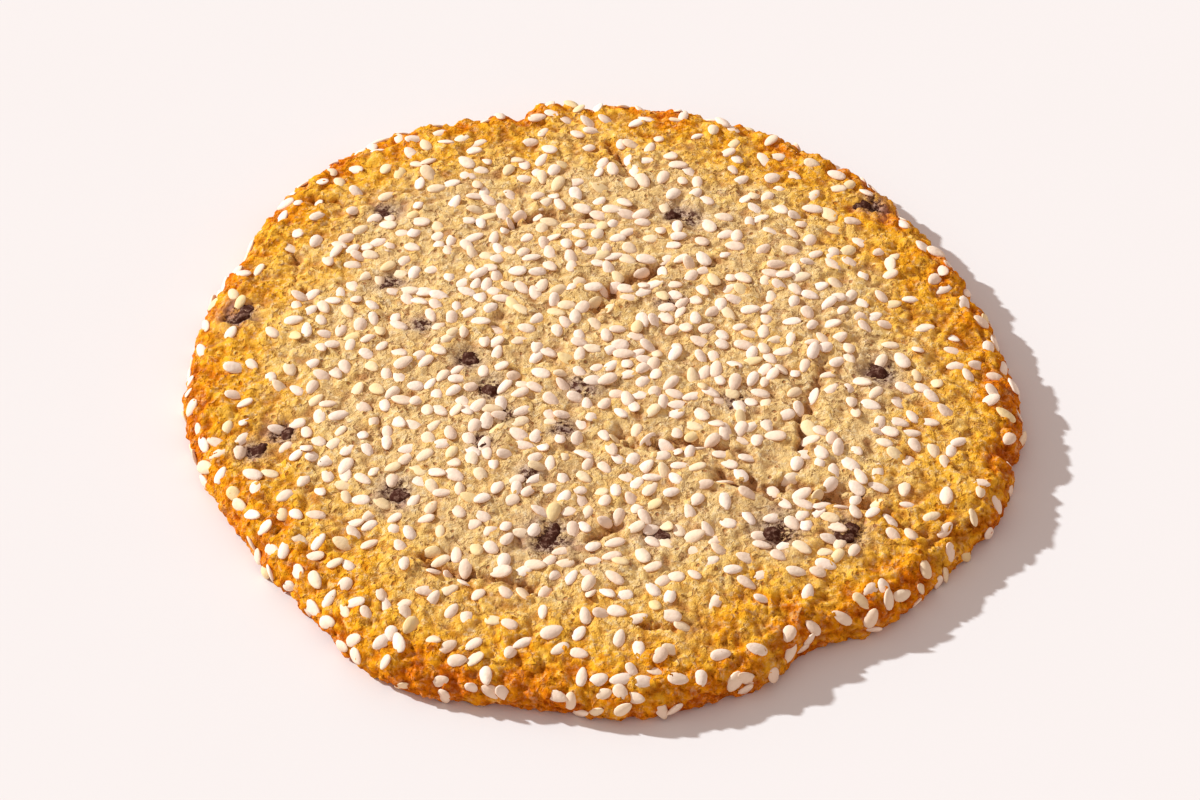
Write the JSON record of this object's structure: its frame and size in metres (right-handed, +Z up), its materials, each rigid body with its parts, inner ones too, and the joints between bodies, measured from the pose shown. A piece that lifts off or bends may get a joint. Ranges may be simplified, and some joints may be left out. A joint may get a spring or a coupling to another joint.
{
  "type": "sesame chocolate cookie",
  "caption": "Round, flat baked cookie with a crumbly, cracked top, a browned rim, hulled sesame seeds all over and chocolate chip tips showing through.",
  "frame": {"origin": "on the table, under the middle of the round cookie, at the centre of the flat base it rests on", "axes": "+Z up through the thickness, -Y towards the side nearest the camera in the picture, +X to its right"},
  "size_m": [0.1206, 0.1212, 0.0093],
  "materials": {
    "crust": "matt, floury, crumbly baked crust, pale in the middle and orange-brown at the rim",
    "sesame": "satin, hulled, ivory-white seeds, a few toasted to yellow",
    "chocolate": "satin dark chocolate with a pale bloom"
  },
  "bodies": {
    "root": {"cookie": "crust"}
  },
  "joints": []
}
